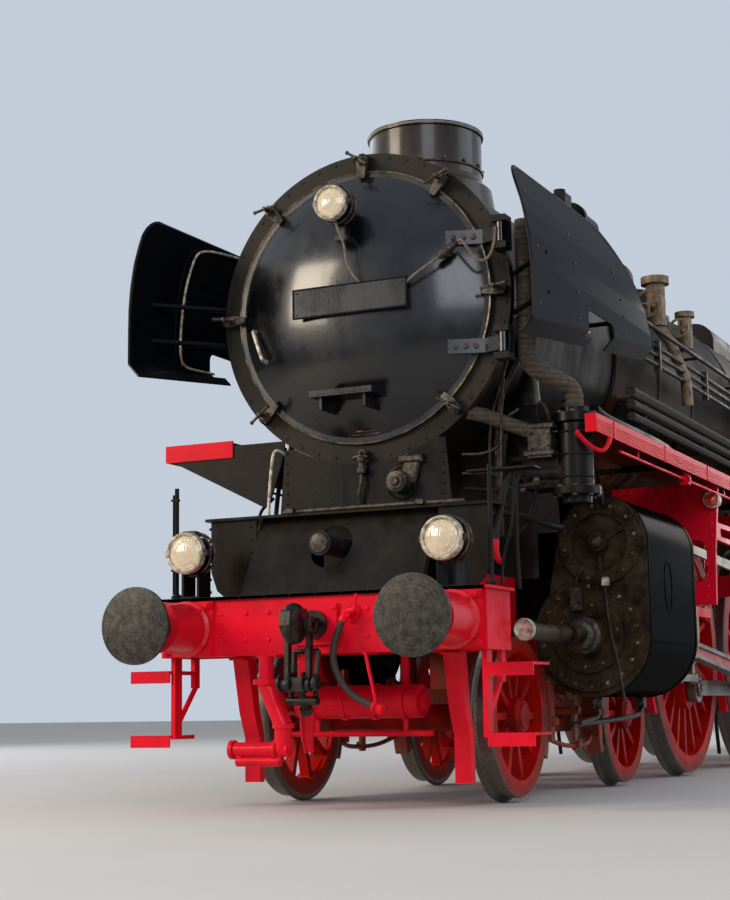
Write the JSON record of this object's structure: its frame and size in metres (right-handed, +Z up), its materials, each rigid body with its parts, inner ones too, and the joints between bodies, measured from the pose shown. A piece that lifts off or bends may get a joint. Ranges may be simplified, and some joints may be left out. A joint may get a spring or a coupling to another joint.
{
  "type": "steam locomotive",
  "caption": "Express steam locomotive with a leading bogie, coupled spoked drivers, a trailing truck, smoke deflectors and an open-backed cab, black over signal red.",
  "frame": {"origin": "middle of the length and width, level with the wheel flanges' lowest points, 28 mm below the rail top", "axes": "-Y towards the front buffers, +X towards the locomotive's left side, +Z up"},
  "size_m": [3.1, 15.9, 4.578],
  "materials": {
    "gloss_black": "gloss",
    "satin_black": "satin",
    "cab_black": "satin",
    "cylinder_black": "satin",
    "signal_red": "satin",
    "running_gear_red": "satin",
    "wheel_red": "satin",
    "bright_steel": "satin",
    "dark_steel": "matte",
    "lagging": "matte",
    "floor_boards": "matte",
    "brass_fittings": "satin",
    "window_glass": "gloss",
    "hose_rubber": "matte"
  },
  "bodies": {
    "engine": {"air_pump": "satin_black", "air_tank": "satin_black", "ashpan": "dark_steel", "axleboxes": "signal_red", "beam_lamps": "gloss_black", "boiler_barrel": "satin_black", "boiler_mounts": "satin_black", "brake_gear": "signal_red", "brake_hose": "hose_rubber", "buffer_beam": "signal_red", "buffers": "dark_steel", "cab_back": "cab_black", "cab_door_pins": "cab_black", "cab_fittings": "brass_fittings", "cab_floor": "floor_boards", "cab_front": "cab_black", "cab_glass": "window_glass", "cab_roof": "satin_black", "cab_sides": "cab_black", "cab_steps": "signal_red", "check_valves": "satin_black", "chimney": "satin_black", "crossheads": "bright_steel", "cylinders": "cylinder_black", "door_hinges": "gloss_black", "draw_gear": "dark_steel", "feed_pump": "satin_black", "firebox": "satin_black", "front_apron": "satin_black", "front_pipes": "signal_red", "front_steps": "signal_red", "generator": "satin_black", "handrails": "satin_black", "inside_cylinder": "satin_black", "left_pipes": "lagging", "main_frame": "signal_red", "main_rods": "bright_steel", "motion_brackets": "signal_red", "running_boards": "signal_red", "smoke_deflectors": "gloss_black", "smokebox": "satin_black", "valve_gear": "bright_steel"},
    "bogie": {"bogie_frame": "running_gear_red"},
    "bogie_wheelset_front": {"bogie_wheelset_front": "wheel_red"},
    "bogie_wheelset_rear": {"bogie_wheelset_rear": "wheel_red"},
    "driver_1": {"driving_wheelset_1": "wheel_red"},
    "driver_2": {"driving_wheelset_2": "wheel_red"},
    "driver_3": {"driving_wheelset_3": "wheel_red"},
    "coupling_rod_left": {"coupling_rod_left": "bright_steel"},
    "coupling_rod_right": {"coupling_rod_right": "bright_steel"},
    "truck": {"trailing_truck": "running_gear_red"},
    "trailing_wheelset": {"trailing_wheelset": "wheel_red"},
    "smokebox_door": {"smokebox_door": "gloss_black", "top_lamp": "gloss_black"},
    "cab_door_left": {"cab_door_left": "cab_black"},
    "cab_door_right": {"cab_door_right": "cab_black"}
  },
  "joints": [
    {"name": "bogie_swivel", "type": "hinge", "parent": "engine", "child": "bogie", "pos_m": [0, -5.075, 1.028], "axis": [0, 0, 1], "range_deg": [-2.5, 2.5]},
    {"name": "bogie_wheel_front_spin", "type": "hinge", "parent": "bogie", "child": "bogie_wheelset_front", "pos_m": [0, -6.175, 0.528], "axis": [1, 0, 0], "continuous": true},
    {"name": "bogie_wheel_rear_spin", "type": "hinge", "parent": "bogie", "child": "bogie_wheelset_rear", "pos_m": [0, -3.975, 0.528], "axis": [1, 0, 0], "continuous": true},
    {"name": "driver_2_spin", "type": "hinge", "parent": "engine", "child": "driver_2", "pos_m": [0, 0.125, 1.028], "axis": [1, 0, 0], "continuous": true},
    {"name": "driver_1_spin", "type": "hinge", "parent": "engine", "child": "driver_1", "pos_m": [0, -2.175, 1.028], "axis": [1, 0, 0], "continuous": true},
    {"name": "driver_3_spin", "type": "hinge", "parent": "engine", "child": "driver_3", "pos_m": [0, 2.425, 1.028], "axis": [1, 0, 0], "continuous": true},
    {"name": "coupling_rod_left_pivot", "type": "hinge", "parent": "driver_2", "child": "coupling_rod_left", "pos_m": [0.903, 0.01213, 0.7179], "axis": [1, 0, 0], "continuous": true},
    {"name": "coupling_rod_right_pivot", "type": "hinge", "parent": "driver_2", "child": "coupling_rod_right", "pos_m": [-0.903, 0.44999, 1.0853], "axis": [1, 0, 0], "continuous": true},
    {"name": "truck_swivel", "type": "hinge", "parent": "engine", "child": "truck", "pos_m": [0, 4.3, 0.658], "axis": [0, 0, 1], "range_deg": [-2.5, 2.5]},
    {"name": "trailing_wheel_spin", "type": "hinge", "parent": "truck", "child": "trailing_wheelset", "pos_m": [0, 6.225, 0.653], "axis": [1, 0, 0], "continuous": true},
    {"name": "smokebox_door_hinge", "type": "hinge", "parent": "engine", "child": "smokebox_door", "pos_m": [0.985, -6.714, 3.128], "axis": [0, 0, 1], "range_deg": [0, 90]},
    {"name": "cab_door_left_hinge", "type": "hinge", "parent": "engine", "child": "cab_door_left", "pos_m": [1.487, 7.072, 2.378], "axis": [0, 0, 1], "range_deg": [0, 90]},
    {"name": "cab_door_right_hinge", "type": "hinge", "parent": "engine", "child": "cab_door_right", "pos_m": [-1.487, 7.072, 2.378], "axis": [0, 0, -1], "range_deg": [0, 90]}
  ],
  "couplings": [
    {"joint": "driver_1_spin", "follows": "driver_2_spin", "ratio": 1},
    {"joint": "driver_3_spin", "follows": "driver_2_spin", "ratio": 1},
    {"joint": "coupling_rod_left_pivot", "follows": "driver_2_spin", "ratio": -1},
    {"joint": "coupling_rod_right_pivot", "follows": "driver_2_spin", "ratio": -1}
  ]
}
